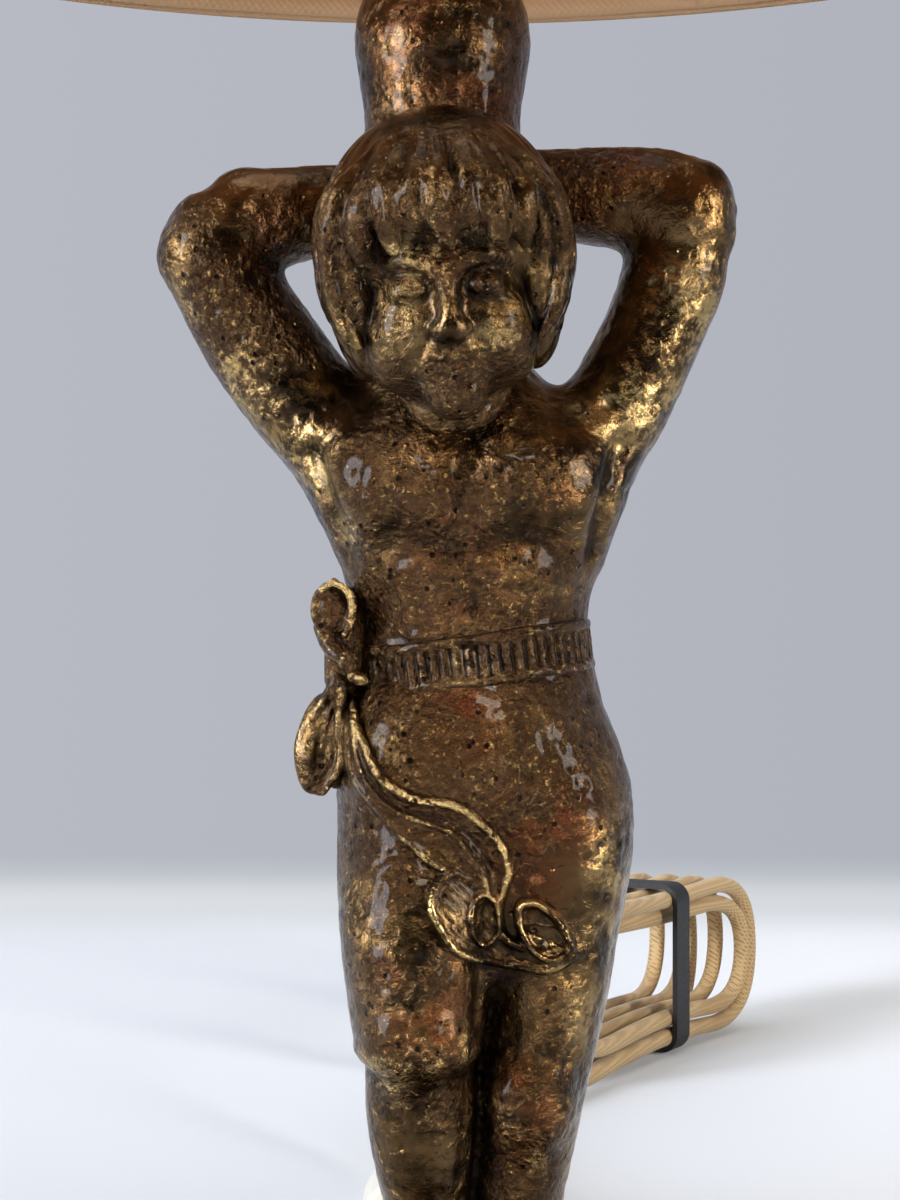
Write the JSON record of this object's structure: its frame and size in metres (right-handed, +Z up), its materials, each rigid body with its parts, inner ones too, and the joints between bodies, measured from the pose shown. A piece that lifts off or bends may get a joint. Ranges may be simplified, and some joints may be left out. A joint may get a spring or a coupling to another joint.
{
  "type": "figural table lamp",
  "caption": "Table lamp: a cast bronze figure of a child carries a round vase and lampholder under a conical fabric shade, with corded switch and plug.",
  "frame": {"origin": "middle of the felt's underside, on the table", "axes": "+Z up along the lamp's axis, -Y the way the figure looks, +X to the viewer's right"},
  "size_m": [0.2714, 0.6499, 0.43],
  "materials": {
    "bronze": "patinated cast bronze, brown over olive, worn pale on the high spots",
    "base_bronze": "patinated cast bronze, smoother than the figure",
    "felt": "pressed wool felt",
    "steel": "zinc-plated steel",
    "brass": "drawn brass, lacquered",
    "porcelain": "glazed white",
    "bulb_glass": "clear",
    "insulator": "black glass",
    "solder": "tinned",
    "tungsten": "bare wire",
    "shade_fabric": "stiffened woven cloth, lit through",
    "shade_tape": "folded bias tape",
    "wire_white": "white powder coat",
    "shade_nut": "moulded white",
    "relief_rubber": "brown",
    "cord": "gold-beige braid over two cores",
    "inner_braid": "gold-beige braid",
    "tie_black": "black",
    "switch_plastic": "cream",
    "rocker_plastic": "cream",
    "plug_plastic": "cream",
    "plug_brass": "turned brass"
  },
  "bodies": {
    "lamp": {"base_casting": "base_bronze", "base_felt": "felt", "base_screws": "steel", "base_washers": "steel", "figure_casting": "bronze", "inner_cord": "inner_braid", "threaded_tube": "steel", "lock_nut": "brass", "holder_cap": "brass", "holder_insert": "porcelain", "terminal_screws": "brass", "screw_shell": "brass", "centre_contact": "brass", "holder_sleeve": "brass", "lower_shade_ring": "shade_nut", "strain_relief": "relief_rubber", "cord_lead_base": "cord", "cord_lead_switch": "cord", "cord_hank": "cord", "cord_tail": "cord", "hank_tie": "tie_black", "switch_lower_shell": "switch_plastic", "switch_upper_shell": "switch_plastic", "rocker_pin": "steel", "switch_screws": "steel", "plug_body": "plug_plastic", "plug_pins": "plug_brass", "plug_relief": "plug_plastic"},
    "shade": {"shade_skin": "shade_fabric", "shade_bottom_wire": "wire_white", "shade_top_wire": "wire_white", "shade_bottom_trim": "shade_tape", "shade_top_trim": "shade_tape", "shade_fitter": "wire_white"},
    "shade_clamp": {"upper_shade_ring": "shade_nut"},
    "bulb": {"bulb_glass": "bulb_glass", "bulb_cap": "brass", "bulb_insulator": "insulator", "bulb_tip": "solder", "bulb_stem": "bulb_glass", "bulb_filament": "tungsten"},
    "rocker": {"switch_rocker": "rocker_plastic"}
  },
  "joints": [
    {"name": "shade_turn", "type": "hinge", "parent": "lamp", "child": "shade", "pos_m": [0, 0, 0.275], "axis": [0, 0, 1], "continuous": true},
    {"name": "shade_clamp_lift", "type": "slide", "parent": "lamp", "child": "shade_clamp", "axis": [0, 0, 1], "range_m": [0, 0.01]},
    {"name": "bulb_lift", "type": "slide", "parent": "lamp", "child": "bulb", "axis": [0, 0, 1], "range_m": [0, 0.025]},
    {"name": "rocker_swing", "type": "hinge", "parent": "lamp", "child": "rocker", "pos_m": [0.06898, 0.13949, 0.0134], "axis": [-0.2672, 0.9636, 0], "range_deg": [-16, 0]}
  ]
}
